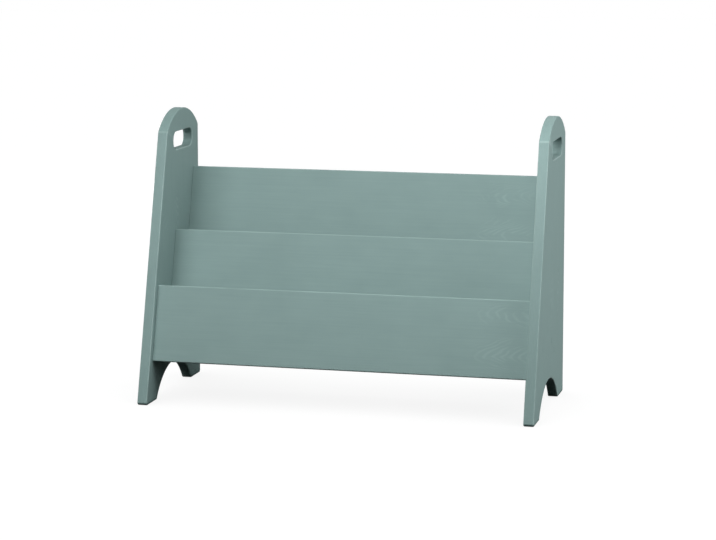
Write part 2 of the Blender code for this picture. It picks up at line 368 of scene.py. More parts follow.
all_drillings = {"left": drillings_of("left", -1), "right": drillings_of("right", 1)}
left_middle = -side_low.x - side_thickness / 2
# The right shoulder's painted highlight is twice as strong as the left's
left_side = side_board("left_side_board", left_middle, all_drillings["left"], shoulder_highlight_strength=0.5)
right_side = side_board("right_side_board", -left_middle, all_drillings["right"], shoulder_highlight_strength=1.0)


def linear(hex_colour):
    """An sRGB hex colour as linear RGBA."""
    parts = [int(hex_colour[at:at + 2], 16) / 255 for at in (1, 3, 5)]
    return tuple(c / 12.92 if c <= 0.04045 else ((c + 0.055) / 1.055) ** 2.4 for c in parts) + (1.0,)


def add_node(tree, kind, inputs=(), **settings):
    """Adds a node with its settings, links each input to a socket or sets it, and gives the outputs."""
    node = tree.nodes.new(kind)
    for key, value in settings.items():
        setattr(node, key, value)
    for key, value in dict(inputs).items():
        if isinstance(value, bpy.types.NodeSocket):
            tree.links.new(value, node.inputs[key])
        else:
            node.inputs[key].default_value = value
    return node.outputs


def empty_material(name):
    material = bpy.data.materials.new(name)
    material.use_nodes = True
    material.node_tree.nodes.clear()
    return material


# The lacquer on even wood and on pale grain, paler on worn rounds as a painted highlight, and
# darker on the feet's bottoms, up to these heights, as painted shade
lacquer, lacquer_on_pale_grain = "#839a98", "#91a8a6"
wear_highlight_lacquer, painted_foot_shade_lacquer = "#a7bdba", "#2c4a46"
fully_foot_shaded_up_to, foot_shaded_up_to = 0.0025, 0.0048
relief_height = 0.00015

# Length along and width across the grain, in mm, and detail of each pattern. Birch pores are really
# 0.1 mm wide and the roller's stipple is 1 mm: too fine to show, so both are drawn coarser.
plywood_patterns = {
    "streaks of the veneer": (111.1, 2.381, 3.0),
    "pores": (14.29, 0.7143, 1.0),
    "clouds in the coat": (83.33, 58.82, 2.0),
    "stipple of the roller": (1.613, 1.613, 1.0),
    "wander of the rings": (71.43, 25.0, 2.0),
    "patches with rings": (33.33, 22.22, 1.0),
}
ply_pair = 0.0028

# Growth rings are drawn as pointed arches, side by side in columns, round the veneer's X = Y = 0
ring_spacing = 0.015
ring_thinness = 3.0
ring_wander, column_wander = 0.012, 0.030
half_column = 0.035
arch_power, arch_length = 1.6, 22.0
reach_along, reach_across = 0.06, 0.11


def painted_plywood(name, turn, shift):
    """Matt water-based lacquer, rolled on birch plywood. Its Mapping turns X along the grain and Z
    through the plies. It gives an even sage green with soft streaks and growth rings under it, a
    fine stipple, faint ribs where plies end, worn smoother edges that are paler as a painted
    highlight, and painted shade on the bottoms of the feet."""
    material = empty_material(name)
    tree = material.node_tree
    surface = add_node(tree, "ShaderNodeTexCoord")
    laid = {"Vector": surface["Object"], "Rotation": turn, "Location": shift}
    wood = add_node(tree, "ShaderNodeMapping", laid)[0]
    turned = {"Vector": surface["Normal"], "Rotation": turn}
    normal = add_node(tree, "ShaderNodeMapping", turned, vector_type="VECTOR")[0]
    x, y, z = add_node(tree, "ShaderNodeSeparateXYZ", {0: wood})

    patterns = []
    for along, across, detail in plywood_patterns.values():
        size = (along / 1000, across / 1000, across / 1000)
        scaled = add_node(tree, "ShaderNodeVectorMath", {0: wood, 1: size}, operation="DIVIDE")[0]
        noise = {"Vector": scaled, "Scale": 1.0, "Detail": detail}
        patterns.append(add_node(tree, "ShaderNodeTexNoise", noise)["Fac"])
    streaks, pores, clouds, stipple, wander, patches = patterns

    # 1 on the veneer's own face, and 0 where the plies end
    facing = add_node(tree, "ShaderNodeSeparateXYZ", {0: normal})["Z"]
    on_face = add_node(tree, "ShaderNodeMath", {0: facing}, operation="ABSOLUTE")[0]
    on_end = add_node(tree, "ShaderNodeMath", {0: 1.0, 1: on_face}, operation="SUBTRACT")[0]

    # The arches bend away from the middle of their column, and pale rings follow them
    swaying = {0: wander, 1: column_wander, 2: y}
    swayed = add_node(tree, "ShaderNodeMath", swaying, operation="MULTIPLY_ADD")[0]
    off_column = add_node(tree, "ShaderNodeMath", {0: swayed, 1: half_column}, operation="PINGPONG")[0]
    bend = add_node(tree, "ShaderNodeMath", {0: off_column, 1: arch_power}, operation="POWER")[0]
    arch = add_node(tree, "ShaderNodeMath", {0: bend, 1: -arch_length, 2: x}, operation="MULTIPLY_ADD")[0]
    wavering = {0: wander, 1: ring_wander, 2: arch}
    along_rings = add_node(tree, "ShaderNodeMath", wavering, operation="MULTIPLY_ADD")[0]
    counted = {0: along_rings, 1: 2 * math.pi / ring_spacing}
    angle = add_node(tree, "ShaderNodeMath", counted, operation="MULTIPLY")[0]
    wave = add_node(tree, "ShaderNodeMath", {0: angle}, operation="SINE")[0]
    level = add_node(tree, "ShaderNodeMath", {0: wave, 1: 0.5, 2: 0.5}, operation="MULTIPLY_ADD")[0]
    rings = add_node(tree, "ShaderNodeMath", {0: level, 1: ring_thinness}, operation="POWER")[0]

    # They show in patches of the face, and fade towards their reach and the sides of each column
    in_patch = {0: patches, "From Min": 0.40, "From Max": 0.56}
    shares = [on_face, add_node(tree, "ShaderNodeMapRange", in_patch)[0]]
    off_x = add_node(tree, "ShaderNodeMath", {0: x}, operation="ABSOLUTE")[0]
    off_y = add_node(tree, "ShaderNodeMath", {0: y}, operation="ABSOLUTE")[0]
    for off, reach in ((off_x, reach_along), (off_y, reach_across), (off_column, half_column)):
        fading = {0: off, "From Max": reach, "To Min": 1.0, "To Max": 0.0}
        shares.append(add_node(tree, "ShaderNodeMapRange", fading)[0])
    for share in shares:
        rings = add_node(tree, "ShaderNodeMath", {0: rings, 1: share}, operation="MULTIPLY")[0]

    # Where the plies end, one rib for each pair of 1.4 mm plies
    counted = {0: z, 1: 2 * math.pi / ply_pair}
    angle = add_node(tree, "ShaderNodeMath", counted, operation="MULTIPLY")[0]
    wave = add_node(tree, "ShaderNodeMath", {0: angle}, operation="SINE")[0]
    ribs = add_node(tree, "ShaderNodeMath", {0: wave, 1: on_end}, operation="MULTIPLY")[0]

    # How pale the surface is and how high it stands: each adds up the patterns by their shares
    tone = -0.075
    for pattern, share in ((streaks, 0.45), (clouds, 0.7), (rings, 1.5), (ribs, 0.10)):
        added = {0: pattern, 1: share, 2: tone}
        tone = add_node(tree, "ShaderNodeMath", added, operation="MULTIPLY_ADD")[0]
    relief = 0.0
    for pattern, share in ((streaks, 0.45), (pores, 0.30), (stipple, 0.16), (rings, 0.10), (ribs, 0.08)):
        added = {0: pattern, 1: share, 2: relief}
        relief = add_node(tree, "ShaderNodeMath", added, operation="MULTIPLY_ADD")[0]
    raised = {"Height": relief, "Strength": 1.0, "Distance": relief_height}
    bump = add_node(tree, "ShaderNodeBump", raised)[0]

    # Edges are worn in clouds and paler there as a painted highlight, and the feet's rounded bottoms
    # are darkened below 5 mm as painted shade
    wear_highlight_mark = add_node(tree, "ShaderNodeAttribute", attribute_name="wear_highlight_edge")["Fac"]
    cloudy = add_node(tree, "ShaderNodeMath", {0: clouds, 1: 1.2}, operation="MULTIPLY")[0]
    wear_highlight_share = add_node(tree, "ShaderNodeMath", {0: wear_highlight_mark, 1: cloudy}, operation="MULTIPLY")[0]
    above_floor = add_node(tree, "ShaderNodeSeparateXYZ", {0: surface["Object"]})["Z"]
    painted_foot_shade = add_node(tree, "ShaderNodeMapRange", {
        0: above_floor, "From Min": fully_foot_shaded_up_to, "From Max": foot_shaded_up_to,
        "To Min": 0.75, "To Max": 0.0,
    })[0]

    # Inputs 6 and 7 and output 2 of a Mix node are its colours
    colour = linear(lacquer)
    for share, other in ((tone, lacquer_on_pale_grain), (wear_highlight_share, wear_highlight_lacquer), (painted_foot_shade, painted_foot_shade_lacquer)):
        blend = {0: share, 6: colour, 7: linear(other)}
        colour = add_node(tree, "ShaderNodeMix", blend, data_type="RGBA")[2]
    matt = add_node(tree, "ShaderNodeMath", {0: clouds, 1: 0.14, 2: 0.61}, operation="MULTIPLY_ADD")[0]
    polishing = {0: wear_highlight_share, 1: -0.35, 2: matt}
    roughness = add_node(tree, "ShaderNodeMath", polishing, operation="MULTIPLY_ADD")[0]
    shader = add_node(tree, "ShaderNodeBsdfPrincipled", {
        "Base Color": colour, "Roughness": roughness, "Normal": bump, "IOR": 1.5, "Specular IOR Level": 0.12,
    })
    add_node(tree, "ShaderNodeOutputMaterial", {"Surface": shader[0]})
    return material


upright_grain = (0.0, math.pi / 2, 0.0)
for piece, node, shift in (
    (left_side, "left_side", (-0.31, -0.04, 0.0)),
    (right_side, "right_side", (-0.19, -0.03, 0.0)),
):
    piece.data.materials.clear()
    piece.data.materials.append(painted_plywood("matt_lacquer_on_plywood_" + node, upright_grain, shift))
    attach(piece, "root")
    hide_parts(node)


# The shelf and the three panels. They are 12 mm plywood boards between the sides; the panels' long
# edges are rounded over with a 2 mm cutter, and the middle panel's foot is cut level to stand on the shelf.

panel_thickness = 0.012
panel_edge_round = 0.002
shelf_edge_round = 0.0005
shelf_thickness = 0.012
seam = 0.0003
front_setback = 0.012
front_foot, front_top = 0.0735, 0.2025
middle_top = 0.288
back_foot, back_top = 0.0735, 0.390
back_before_edge = 0.017
shelf_top = 0.121


def geometry_tree(name, sockets):
    """An empty tree of Geometry Nodes with named inputs, and those inputs."""
    tree = bpy.data.node_groups.new(name, "GeometryNodeTree")
    tree.interface.new_socket("Geometry", in_out="INPUT", socket_type="NodeSocketGeometry")
    for socket, kind in sockets.items():
        tree.interface.new_socket(socket, in_out="INPUT", socket_type="NodeSocket" + kind)
    tree.interface.new_socket("Geometry", in_out="OUTPUT", socket_type="NodeSocketGeometry")
    return tree, add_node(tree, "NodeGroupInput")


def end_tree(tree, geometry, finish):
    """The last nodes of each tree: real faces instead of instances, and their finish."""
    real = add_node(tree, "GeometryNodeRealizeInstances", {"Geometry": geometry})[0]
    dressed = add_node(tree, "GeometryNodeSetMaterial", {"Geometry": real, "Material": finish})[0]
    add_node(tree, "NodeGroupOutput", {0: dressed})


def shaped(name, mesh, tree, values):
    """A new piece whose mesh the tree shapes; each value goes to the socket of its name."""
    piece = bpy.data.objects.new(name, mesh)
    bpy.context.scene.collection.objects.link(piece)
    shaper = piece.modifiers.new(tree.name, "NODES")
    shaper.node_group = tree
    for socket in tree.interface.items_tree:
        if socket.name in values:
            shaper[socket.identifier] = values[socket.name]
    return piece


# One tree draws a board's four-cornered section, rounds its corners and sweeps it between the sides.
# Each round is marked as worn and paler as a painted highlight, most of all in its middle.
board_corners = ("Front foot", "Back foot", "Back top", "Front top")
board_tree, given = geometry_tree("board_between_the_sides", {
    **{corner: "Vector" for corner in board_corners},
    "Edge round": "Float", "Left end": "Float", "Right end": "Float", "Finish": "Material",
})
corners = {f"Point {number}": given[corner] for number, corner in enumerate(board_corners, start=1)}
section = add_node(board_tree, "GeometryNodeCurvePrimitiveQuadrilateral", corners, mode="POINTS")[0]
rounding = {"Curve": section, "Radius": given["Edge round"], "Count": round_steps}
rounded = add_node(board_tree, "GeometryNodeFilletCurve", rounding, mode="POLY")[0]
order = add_node(board_tree, "GeometryNodeInputIndex")[0]
step = add_node(board_tree, "ShaderNodeMath", {0: order, 1: round_steps + 1}, operation="MODULO")[0]
signed = add_node(board_tree, "ShaderNodeMath", {0: step, 1: round_steps / 2}, operation="SUBTRACT")[0]
off_middle = add_node(board_tree, "ShaderNodeMath", {0: signed}, operation="ABSOLUTE")[0]
falling = {0: off_middle, 1: -2 / round_steps, 2: 1.0}
wear_highlight_mark = add_node(board_tree, "ShaderNodeMath", falling, operation="MULTIPLY_ADD")[0]
marking = {"Geometry": rounded, "Name": "wear_highlight_edge", "Value": wear_highlight_mark}
marked = add_node(
    board_tree, "GeometryNodeStoreNamedAttribute", marking, data_type="FLOAT", domain="POINT",
)[0]
half_turn = {"Geometry": marked, "Rotation": (0.0, 0.0, math.pi)}
profile = add_node(board_tree, "GeometryNodeTransform", half_turn)[0]
left_end = add_node(board_tree, "ShaderNodeCombineXYZ", {"X": given["Left end"]})[0]
right_end = add_node(board_tree, "ShaderNodeCombineXYZ", {"X": given["Right end"]})[0]
way = add_node(board_tree, "GeometryNodeCurvePrimitiveLine", {"Start": left_end, "End": right_end})[0]
sweep = {"Curve": way, "Profile Curve": profile, "Fill Caps": True}
swept = add_node(board_tree, "GeometryNodeCurveToMesh", sweep)[0]
end_tree(board_tree, swept, given["Finish"])


def on_lean(across, at_height):
    start = toe + across_the_lean * across
    return start + up_the_lean * ((at_height - start.y) / math.cos(lean))


def panel_section(across, foot, top, level_foot=False):
    corner = on_lean(across, foot)
    length = (top - foot) / math.cos(lean)
    foot_slope = panel_thickness * math.tan(lean) if level_foot else 0.0
    return [
        corner,
        corner + across_the_lean * panel_thickness + up_the_lean * foot_slope,
        corner + across_the_lean * panel_thickness + up_the_lean * length,
        corner + up_the_lean * length,
    ]


def shelf_section(front_across, back_across):
    foot = shelf_top - shelf_thickness
    gap = back * (seam / math.cos(lean))
    return [
        on_lean(front_across, foot) + gap,
        on_lean(back_across, foot) - gap,
        on_lean(back_across, shelf_top) - gap,
        on_lean(front_across, shelf_top) + gap,
    ]


def board(name, section, edge_round, node, turn, shift):
    low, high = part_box(node)
    values = {corner: (*point, 0.0) for corner, point in zip(board_corners, section)}
    values.update({"Edge round": edge_round, "Left end": low.x, "Right end": high.x})
    values["Finish"] = painted_plywood("matt_lacquer_on_plywood_" + node, turn, shift)
    piece = shaped(name, bpy.data.meshes.new(name), board_tree, values)
    for drillings in all_drillings.values():
        drill(piece, drillings)
    smooth_rounds(plain_mesh(piece))
    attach(piece, "root")
    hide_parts(node)


back_corner = depth / 2 - back_before_edge - panel_thickness * math.cos(lean)
back_across = (back_corner - toe.x - back_top * math.tan(lean)) * math.cos(lean)
middle_across = (front_setback + back_across) / 2
level_grain = (0.0, 0.0, 0.0)
leaning_grain = (lean - math.pi / 2, 0.0, 0.0)
shelf_corners = shelf_section(front_setback + panel_thickness, back_across)
board("shelf_board", shelf_corners, shelf_edge_round, "bottom_shelf", level_grain, (0.4, 0.7, 0.0))
front_corners = panel_section(front_setback, front_foot, front_top)
board("front_board", front_corners, panel_edge_round, "front_panel", leaning_grain, (-0.29, -0.093, 0.0))
middle_corners = panel_section(middle_across, shelf_top + seam, middle_top, level_foot=True)
board("middle_board", middle_corners, panel_edge_round, "middle_panel", leaning_grain, (-0.9, 0.4, 0.0))
back_corners = panel_section(back_across, back_foot, back_top)
board("back_board", back_corners, panel_edge_round, "back_panel", leaning_grain, (-0.25, -0.315, 0.0))
for drillings in all_drillings.values():
    bpy.data.objects.remove(drillings, do_unlink=True)


# The dowels that line up each board's end with the side. They are 6 mm fluted beech pegs, 30 mm long,
# chamfered at both ends and glued 10 mm deep into the side.

dowel_diameter = 0.0060
dowel_length = 0.030
dowel_chamfer = 0.001
dowel_outer_end = -0.008
dowel_grooves = 12
groove_depth = 0.05
peg_sides = 48
peg_seed = 7
fastener_sharp_angle = math.radians(30)


def fastener_points(name, nodes):
    """One point for each fastener, on the side's outer face, with the way that it looks along X."""
    points = []
    ways = []
    for node in nodes:
        side_sign = -1.0 if "_left_" in node else 1.0
        middle = middle_of(node)
        points.append((side_sign * frame_box[1].x, middle.y, middle.z))
        ways.append(side_sign)
    mesh = bpy.data.meshes.new(name)
    mesh.from_pydata(points, [], [])
    mesh.attributes.new("way_out", "FLOAT", "POINT").data.foreach_set("value", ways)
    return mesh


def set_in_place(tree, points, body, seed, sunk):
    """Sets a body at each point, its Z out of the rack, turned by chance and sunk by chance."""
    way_out = add_node(tree, "GeometryNodeInputNamedAttribute", {"Name": "way_out"}, data_type="FLOAT")[0]
    quarter = add_node(tree, "ShaderNodeMath", {0: way_out, 1: math.pi / 2}, operation="MULTIPLY")[0]
    tilt = add_node(tree, "ShaderNodeCombineXYZ", {"Y": quarter})[0]
    # Inputs 2, 3 and 8 of Random Value are its limits and its seed, and output 1 is the number
    any_turn = {2: 0.0, 3: 2 * math.pi, 8: seed}
    chance = add_node(tree, "FunctionNodeRandomValue", any_turn, data_type="FLOAT")[1]
    spin = add_node(tree, "ShaderNodeCombineXYZ", {"Z": chance})[0]
    tilted = add_node(tree, "FunctionNodeEulerToRotation", {0: tilt})[0]
    spun = add_node(tree, "FunctionNodeEulerToRotation", {0: spin})[0]
    turned = add_node(tree, "FunctionNodeRotateRotation", {0: tilted, 1: spun}, rotation_space="LOCAL")[0]
    standing = {"Points": points, "Instance": body, "Rotation": turned}
    placed = add_node(tree, "GeometryNodeInstanceOnPoints", standing)[0]
    any_depth = {2: -1.0, 3: 0.0, 8: seed + 1}
    depth_chance = add_node(tree, "FunctionNodeRandomValue", any_depth, data_type="FLOAT")[1]
    sinking = add_node(tree, "ShaderNodeMath", {0: depth_chance, 1: sunk}, operation="MULTIPLY")[0]
    shift = add_node(tree, "ShaderNodeCombineXYZ", {"Z": sinking})[0]
    lowered = {"Instances": placed, "Translation": shift, "Local Space": True}
    return add_node(tree, "GeometryNodeTranslateInstances", lowered)[0]


# One tree turns every peg: a line of four rings, with a round or fluted section swept along it
peg_tree, given = geometry_tree("chamfered_pegs", {
    "Diameter": "Float", "Length": "Float", "Chamfer": "Float", "Outer end": "Float",
    "Grooves": "Int", "Groove depth": "Float", "Sunk": "Float", "Finish": "Material",
})
length, chamfer, outer_end = given["Length"], given["Chamfer"], given["Outer end"]
order = add_node(peg_tree, "GeometryNodeInputIndex")[0]
position = add_node(peg_tree, "GeometryNodeInputPosition")[0]
inner_end = add_node(peg_tree, "ShaderNodeMath", {0: outer_end, 1: length}, operation="SUBTRACT")[0]
inner_shoulder = add_node(peg_tree, "ShaderNodeMath", {0: inner_end, 1: chamfer}, operation="ADD")[0]
outer_shoulder = add_node(peg_tree, "ShaderNodeMath", {0: outer_end, 1: chamfer}, operation="SUBTRACT")[0]
full_radius = add_node(peg_tree, "ShaderNodeMath", {0: given["Diameter"], 1: 0.5}, operation="MULTIPLY")[0]
end_radius = add_node(peg_tree, "ShaderNodeMath", {0: full_radius, 1: chamfer}, operation="SUBTRACT")[0]

# Two choosers give each ring its height and its radius, from the inner end to the outer end
ring_heights = (inner_end, inner_shoulder, outer_shoulder, outer_end)
ring_radii = (end_radius, full_radius, full_radius, end_radius)
chosen = []
for values in (ring_heights, ring_radii):
    chooser = peg_tree.nodes.new("GeometryNodeIndexSwitch")
    chooser.data_type = "FLOAT"
    while len(chooser.index_switch_items) < len(values):
        chooser.index_switch_items.new()
    for key, value in enumerate((order, *values)):
        peg_tree.links.new(value, chooser.inputs[key])
    chosen.append(chooser.outputs[0])
at_height, at_radius = chosen

rings = add_node(peg_tree, "GeometryNodeMeshLine", {"Count": len(ring_heights)})[0]
line = add_node(peg_tree, "GeometryNodeMeshToCurve", {"Mesh": rings})[0]
ring_place = add_node(peg_tree, "ShaderNodeCombineXYZ", {"Z": at_height})[0]
axis = add_node(peg_tree, "GeometryNodeSetPosition", {"Geometry": line, "Position": ring_place})[0]
circle = add_node(peg_tree, "GeometryNodeCurvePrimitiveCircle", {"Resolution": peg_sides, "Radius": 1.0})[0]
waves = add_node(peg_tree, "ShaderNodeMath", {0: order, 1: given["Grooves"]}, operation="MULTIPLY")[0]
round_peg = {0: waves, 1: 2 * math.pi / peg_sides}
angle = add_node(peg_tree, "ShaderNodeMath", round_peg, operation="MULTIPLY")[0]
wave = add_node(peg_tree, "ShaderNodeMath", {0: angle}, operation="COSINE")[0]
groove = add_node(peg_tree, "ShaderNodeMath", {0: wave, 1: -0.5, 2: 0.5}, operation="MULTIPLY_ADD")[0]
cut = add_node(peg_tree, "ShaderNodeMath", {0: groove, 1: given["Groove depth"]}, operation="MULTIPLY")[0]
reach = add_node(peg_tree, "ShaderNodeMath", {0: 1.0, 1: cut}, operation="SUBTRACT")[0]
fluted = add_node(peg_tree, "ShaderNodeVectorMath", {0: position, "Scale": reach}, operation="SCALE")[0]
section = add_node(peg_tree, "GeometryNodeSetPosition", {"Geometry": circle, "Position": fluted})[0]
sweep = {"Curve": axis, "Profile Curve": section, "Scale": at_radius, "Fill Caps": True}
peg = add_node(peg_tree, "GeometryNodeCurveToMesh", sweep)[0]
pegs = set_in_place(peg_tree, given["Geometry"], peg, peg_seed, given["Sunk"])
end_tree(peg_tree, pegs, given["Finish"])


def unpainted_beech(name):
    """Turned, steamed beech: a warm pale brown with short darker rays, dry and fairly rough."""
    material = empty_material(name)
    tree = material.node_tree
    place = add_node(tree, "ShaderNodeTexCoord")["Object"]
    # Rays 3 mm long, along the peg, and 0.4 mm wide
    ray_size = (0.00303, 0.0004, 0.0004)
    scaled = add_node(tree, "ShaderNodeVectorMath", {0: place, 1: ray_size}, operation="DIVIDE")[0]
    rays = add_node(tree, "ShaderNodeTexNoise", {"Vector": scaled, "Scale": 1.0, "Detail": 2.0})["Fac"]
    tones = {0: rays, 6: linear("#b98d63"), 7: linear("#dcbc94")}
    colour = add_node(tree, "ShaderNodeMix", tones, data_type="RGBA")[2]
    bump = add_node(tree, "ShaderNodeBump", {"Height": rays, "Distance": 0.00005})[0]
    shader = add_node(tree, "ShaderNodeBsdfPrincipled", {
        "Base Color": colour, "Roughness": 0.62, "Normal": bump, "IOR": 1.5,
    })
    add_node(tree, "ShaderNodeOutputMaterial", {"Surface": shader[0]})
    return material


def fasteners(name, nodes, tree, values):
    """All fasteners of one kind as one piece, in place of their CAD nodes."""
    piece = shaped(name, fastener_points(name, nodes), tree, values)
    plain_mesh(piece)
    piece.data.shade_smooth()
    piece.data.set_sharp_from_angle(angle=fastener_sharp_angle)
    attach(piece, "root")
    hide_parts(*nodes)


fasteners("fluted_dowels", dowel_names, peg_tree, {
    "Diameter": dowel_diameter, "Length": dowel_length, "Chamfer": dowel_chamfer,
    "Outer end": dowel_outer_end, "Grooves": dowel_grooves, "Groove depth": groove_depth,
    "Sunk": 0.0, "Finish": unpainted_beech("steamed_beech"),
})


# The screws that draw each board against its side. They are zinc-plated steel wood screws, 4.5 x 45,
# with a countersunk head, a six-lobe drive and a rolled thread; each head lies 5 mm under the face.

screw_length = 0.045
screw_diameter = 0.0045
screw_core = 0.0029
screw_neck = 0.0032
screw_head = 0.0085
screw_head_rim = 0.0004
screw_cone_slope = 1.3
screw_tip_length = 0.006
screw_tip = 0.0012
screw_thread_start = 0.015
screw_pitch = 0.0022
screw_crest_sharpness = 4.4
screw_head_depth = 0.0053
screw_sides = 18
screw_rings = 150
screw_seed = 19
drive_diameter = 0.0040
drive_lobes = 6
drive_lobe_depth = 0.16
drive_depth = 0.0018
drive_points = 48
above_head = 0.001

# One tree turns every screw: a fine cylinder whose points move to the thread, the neck or the head
screw_tree, given = geometry_tree("wood_screws", {
    "Length": "Float", "Thread diameter": "Float", "Core diameter": "Float", "Neck diameter": "Float",
    "Head diameter": "Float", "Head rim": "Float", "Thread start": "Float", "Pitch": "Float",
    "Tip length": "Float", "Tip share": "Float", "Head depth": "Float", "Finish": "Material",
})
length = given["Length"]
cylinder = {"Vertices": screw_sides, "Side Segments": screw_rings, "Radius": 1.0, "Depth": length}
blank = add_node(screw_tree, "GeometryNodeMeshCylinder", cylinder, fill_type="NGON")[0]
position = add_node(screw_tree, "GeometryNodeInputPosition")[0]
x, y, z = add_node(screw_tree, "ShaderNodeSeparateXYZ", {0: position})
half_length = add_node(screw_tree, "ShaderNodeMath", {0: length, 1: 0.5}, operation="MULTIPLY")[0]
down = add_node(screw_tree, "ShaderNodeMath", {0: half_length, 1: z}, operation="SUBTRACT")[0]
radius = {}
for part in ("Thread", "Core", "Neck", "Head"):
    halved = {0: given[part + " diameter"], 1: 0.5}
    radius[part] = add_node(screw_tree, "ShaderNodeMath", halved, operation="MULTIPLY")[0]

# The thread's crest stands half way through each turn, counted down the screw and round it
angle = add_node(screw_tree, "ShaderNodeMath", {0: y, 1: x}, operation="ARCTAN2")[0]
round_it = add_node(screw_tree, "ShaderNodeMath", {0: angle, 1: 2 * math.pi}, operation="DIVIDE")[0]
down_it = add_node(screw_tree, "ShaderNodeMath", {0: down, 1: given["Pitch"]}, operation="DIVIDE")[0]
turns = add_node(screw_tree, "ShaderNodeMath", {0: down_it, 1: round_it}, operation="SUBTRACT")[0]
in_turn = add_node(screw_tree, "ShaderNodeMath", {0: turns}, operation="FRACT")[0]
signed = add_node(screw_tree, "ShaderNodeMath", {0: in_turn, 1: 0.5}, operation="SUBTRACT")[0]
off_crest = add_node(screw_tree, "ShaderNodeMath", {0: signed}, operation="ABSOLUTE")[0]
flanks = {0: off_crest, 1: -screw_crest_sharpness, 2: 1.0}
crest = add_node(screw_tree, "ShaderNodeMath", flanks, operation="MULTIPLY_ADD", use_clamp=True)[0]
rolled = {0: radius["Thread"], 1: radius["Core"]}
thread_depth = add_node(screw_tree, "ShaderNodeMath", rolled, operation="SUBTRACT")[0]
over_core = {0: crest, 1: thread_depth, 2: radius["Core"]}
threaded = add_node(screw_tree, "ShaderNodeMath", over_core, operation="MULTIPLY_ADD")[0]

# The neck ends where the thread starts, and the last of the thread narrows to the tip
below_neck = {0: down, 1: given["Thread start"]}
in_thread = add_node(screw_tree, "ShaderNodeMath", below_neck, operation="GREATER_THAN")[0]
shank = add_node(screw_tree, "ShaderNodeMix", {0: in_thread, 2: radius["Neck"], 3: threaded})[0]
from_tip = add_node(screw_tree, "ShaderNodeMath", {0: length, 1: down}, operation="SUBTRACT")[0]
narrowing = {0: from_tip, "From Max": given["Tip length"], "To Min": given["Tip share"]}
taper = add_node(screw_tree, "ShaderNodeMapRange", narrowing)[0]
tapered = add_node(screw_tree, "ShaderNodeMath", {0: shank, 1: taper}, operation="MULTIPLY")[0]

# The countersunk head is a cone under a short rim
off_rim = add_node(screw_tree, "ShaderNodeMath", {0: down, 1: given["Head rim"]}, operation="SUBTRACT")[0]
under_rim = add_node(screw_tree, "ShaderNodeMath", {0: off_rim, 1: 0.0}, operation="MAXIMUM")[0]
countersunk = {0: under_rim, 1: -screw_cone_slope, 2: radius["Head"]}
cone = add_node(screw_tree, "ShaderNodeMath", countersunk, operation="MULTIPLY_ADD")[0]
reach = add_node(screw_tree, "ShaderNodeMath", {0: tapered, 1: cone}, operation="MAXIMUM")[0]
out = add_node(screw_tree, "ShaderNodeVectorMath", {0: position, "Scale": reach}, operation="SCALE")[0]
out_x, out_y, out_z = add_node(screw_tree, "ShaderNodeSeparateXYZ", {0: out})
minus_down = add_node(screw_tree, "ShaderNodeMath", {0: 0.0, 1: down}, operation="SUBTRACT")[0]
below_face = {0: minus_down, 1: given["Head depth"]}
depth_in = add_node(screw_tree, "ShaderNodeMath", below_face, operation="SUBTRACT")[0]
turned = add_node(screw_tree, "ShaderNodeCombineXYZ", {"X": out_x, "Y": out_y, "Z": depth_in})[0]
screw = add_node(screw_tree, "GeometryNodeSetPosition", {"Geometry": blank, "Position": turned})[0]

# The drive is the shape of a bar with six lobes, cut out of the head
bar = {"Resolution": drive_points, "Radius": drive_diameter / 2}
circle = add_node(screw_tree, "GeometryNodeCurvePrimitiveCircle", bar)[0]
order = add_node(screw_tree, "GeometryNodeInputIndex")[0]
round_bar = {0: order, 1: 2 * math.pi * drive_lobes / drive_points}
angle = add_node(screw_tree, "ShaderNodeMath", round_bar, operation="MULTIPLY")[0]
wave = add_node(screw_tree, "ShaderNodeMath", {0: angle}, operation="COSINE")[0]
lobing = {0: wave, 1: drive_lobe_depth / 2, 2: 1 - drive_lobe_depth / 2}
reach = add_node(screw_tree, "ShaderNodeMath", lobing, operation="MULTIPLY_ADD")[0]
pulled = add_node(screw_tree, "ShaderNodeVectorMath", {0: position, "Scale": reach}, operation="SCALE")[0]
lobes = add_node(screw_tree, "GeometryNodeSetPosition", {"Geometry": circle, "Position": pulled})[0]
drive_foot = (0.0, 0.0, -screw_head_depth - drive_depth)
drive_top = (0.0, 0.0, -screw_head_depth + above_head)
way = add_node(screw_tree, "GeometryNodeCurvePrimitiveLine", {"Start": drive_foot, "End": drive_top})[0]
sweep = {"Curve": way, "Profile Curve": lobes, "Fill Caps": True}
bit = add_node(screw_tree, "GeometryNodeCurveToMesh", sweep)[0]
cut = {"Mesh 1": screw, "Mesh 2": bit}
recessed = add_node(screw_tree, "GeometryNodeMeshBoolean", cut, operation="DIFFERENCE", solver="EXACT")[0]
screws = set_in_place(screw_tree, given["Geometry"], recessed, screw_seed, 0.0)
end_tree(screw_tree, screws, given["Finish"])


def zinc_plate(name):
    """Steel with a bright zinc plate: a cool grey metal, softly mottled, with a satin gloss."""
    material = empty_material(name)
    tree = material.node_tree
    place = add_node(tree, "ShaderNodeTexCoord")["Object"]
    mottle_size = 0.00111
    spots = {"Vector": place, "Scale": 1 / mottle_size, "Detail": 3.0}
    mottle = add_node(tree, "ShaderNodeTexNoise", spots)["Fac"]
    tones = {0: mottle, 6: linear("#a9adb1"), 7: linear("#cdd0d2")}
    colour = add_node(tree, "ShaderNodeMix", tones, data_type="RGBA")[2]
    satin = add_node(tree, "ShaderNodeMath", {0: mottle, 1: 0.25, 2: 0.22}, operation="MULTIPLY_ADD")[0]
    shader = add_node(tree, "ShaderNodeBsdfPrincipled", {
        "Base Color": colour, "Metallic": 1.0, "Roughness": satin,
    })
    add_node(tree, "ShaderNodeOutputMaterial", {"Surface": shader[0]})
    return material


